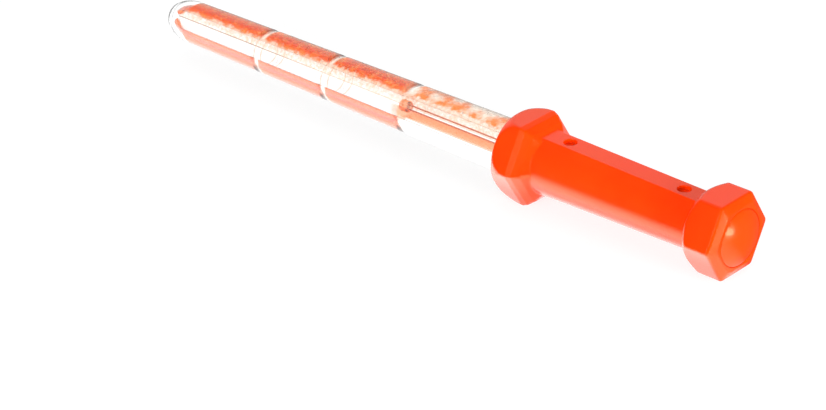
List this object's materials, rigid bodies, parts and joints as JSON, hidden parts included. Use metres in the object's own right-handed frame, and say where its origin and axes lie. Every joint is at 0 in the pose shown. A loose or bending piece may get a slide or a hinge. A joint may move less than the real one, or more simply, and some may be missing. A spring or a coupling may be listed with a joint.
{
  "type": "signal wand",
  "caption": "Hand-held LED signal wand: clear grooved blade on an orange grip with a hexagonal guard, a screw-on hexagonal pommel cap and a domed push button.",
  "frame": {"origin": "on the long axis, half way between the blade's tip and the top of the push button", "axes": "+X along the wand from the blade towards the pommel, +Z out of the grip's flat pad, at right angles to the guard's top flat"},
  "size_m": [0.38, 0.0464, 0.0406],
  "materials": {
    "orange_plastic": "glossy moulded ABS",
    "clear_plastic": "clear moulded acrylic",
    "tinted_plastic": "translucent orange film",
    "prism_film": "embossed translucent film",
    "led_epoxy": "tinted epoxy",
    "natural_plastic": "natural moulded nylon",
    "black_plastic": "black moulded plastic",
    "rubber": "nitrile rubber",
    "brass": "stamped brass",
    "steel": "nickel-plated steel",
    "circuit_board": "solder-masked glass epoxy"
  },
  "bodies": {
    "handle": {"grip": "orange_plastic", "lock_pins": "orange_plastic", "battery_sleeve": "natural_plastic", "return_strip": "brass", "rear_cell": "steel", "front_cell": "steel", "front_contact": "brass", "lamp_board": "circuit_board", "resistor": "black_plastic", "lamp_holder": "natural_plastic", "led": "led_epoxy", "led_leads": "steel", "light_tube": "tinted_plastic", "glow_strip": "prism_film", "tint_strip": "tinted_plastic", "blade": "clear_plastic", "blade_o_ring": "rubber", "cap_o_ring": "rubber"},
    "tail_spring": {"battery_spring": "steel"},
    "cap": {"pommel_cap": "orange_plastic", "thread_ring": "orange_plastic", "tail_board": "circuit_board", "contact_ring": "brass", "switch_body": "black_plastic", "button_spring": "steel"},
    "push_button": {"button": "orange_plastic", "switch_plunger": "natural_plastic"}
  },
  "joints": [
    {"name": "cap_travel", "type": "slide", "parent": "handle", "child": "tail_spring", "axis": [1, 0, 0], "range_m": [0, 0.006]},
    {"name": "cap_turn", "type": "hinge", "parent": "tail_spring", "child": "cap", "pos_m": [0.17, 0, 0], "axis": [1, 0, 0], "range_deg": [0, 1080]},
    {"name": "button_press", "type": "slide", "parent": "cap", "child": "push_button", "axis": [-1, 0, 0], "range_m": [0, 0.0012], "stiffness_N_per_m": 1500, "springref_m": -0.0002, "deforming": ["button_spring"]}
  ],
  "couplings": [
    {"joint": "cap_turn", "follows": "cap_travel", "rad_per_m": 3141.6}
  ]
}
